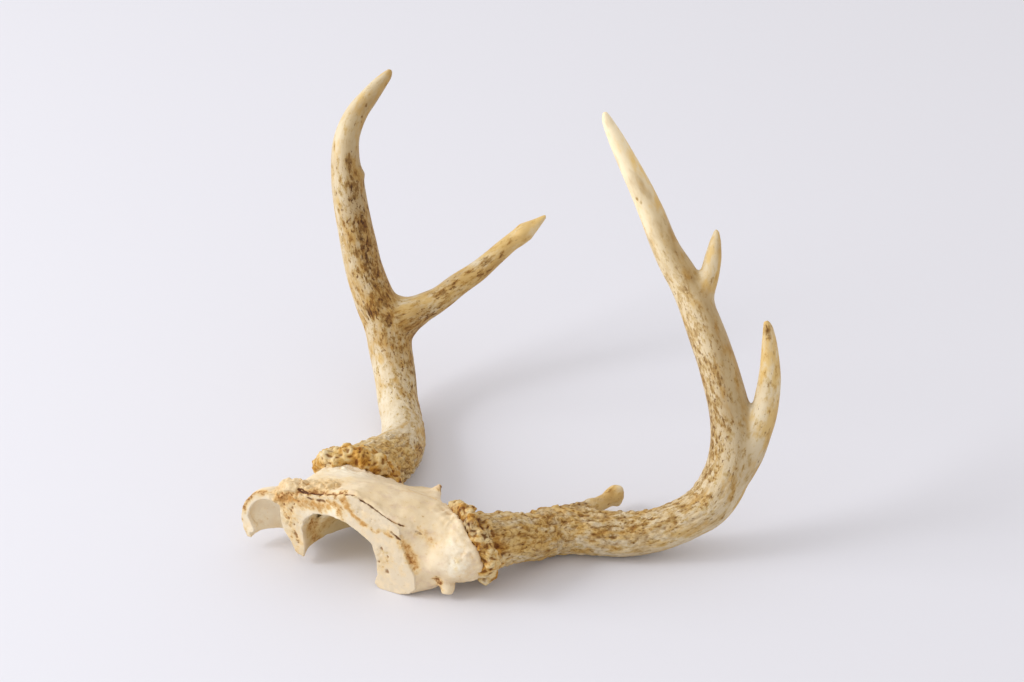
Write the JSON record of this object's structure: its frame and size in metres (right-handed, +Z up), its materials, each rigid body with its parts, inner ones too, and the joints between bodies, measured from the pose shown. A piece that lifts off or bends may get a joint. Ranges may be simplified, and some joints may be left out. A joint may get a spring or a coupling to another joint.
{
  "type": "deer antler rack",
  "caption": "Pair of forked deer antlers joined by a sawn skull plate, with rough knobbed burrs and smooth ivory points, lying on the backs of the beams.",
  "frame": {"origin": "bottom centre of the bounding box, on the surface the rack lies on", "axes": "+Z up as it lies; +X from the left antler's side towards the bend of the right antler; +Y from the saw cut towards the far bend of the left antler"},
  "size_m": [0.292, 0.2828, 0.2302],
  "materials": {
    "skull_bone": "dry matt bone, cream with orange-brown stains and dark cracks along the saw cut",
    "pearled_antler": "rough close-set pearling, yellow-brown lumps with dark brown hollows",
    "stained_antler": "cream antler with lengthwise brown streaks and specks, slight sheen",
    "ivory_antler": "smooth polished ivory-coloured antler with faint streaks"
  },
  "bodies": {
    "root": {"skull_plate": "skull_bone", "left_lower_beam": "pearled_antler", "left_upper_beam": "stained_antler", "left_tine": "stained_antler", "right_lower_beam": "pearled_antler", "right_brow_tine": "stained_antler", "right_middle_beam": "stained_antler", "right_second_tine": "ivory_antler", "right_upper_beam": "ivory_antler", "right_third_tine": "ivory_antler"}
  },
  "joints": []
}
